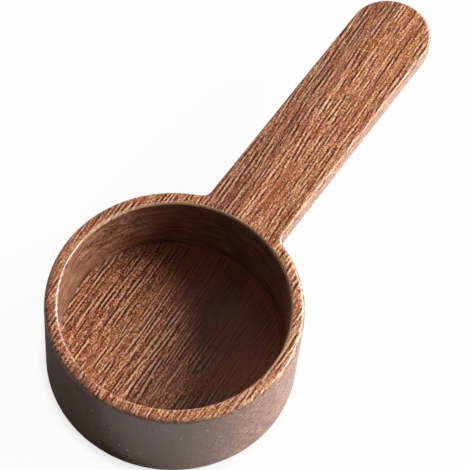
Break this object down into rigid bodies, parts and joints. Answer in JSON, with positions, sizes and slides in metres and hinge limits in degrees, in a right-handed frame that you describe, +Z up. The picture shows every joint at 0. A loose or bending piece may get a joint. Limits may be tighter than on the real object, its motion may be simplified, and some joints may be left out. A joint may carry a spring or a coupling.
{
  "type": "measuring scoop",
  "caption": "Flat-bottomed round scoop with straight walls, a deep round pocket and a flat handle level with its rim, carved in one piece from dark wood.",
  "frame": {"origin": "centre of the cup's flat base, on the surface it stands on", "axes": "+X along the handle towards its tip, +Z up out of the cup's mouth, +Y to the left of someone looking along the handle"},
  "size_m": [0.1205, 0.054, 0.0245],
  "materials": {
    "walnut": "fine-sanded, oiled, satin"
  },
  "bodies": {
    "root": {"scoop": "walnut"}
  },
  "joints": []
}
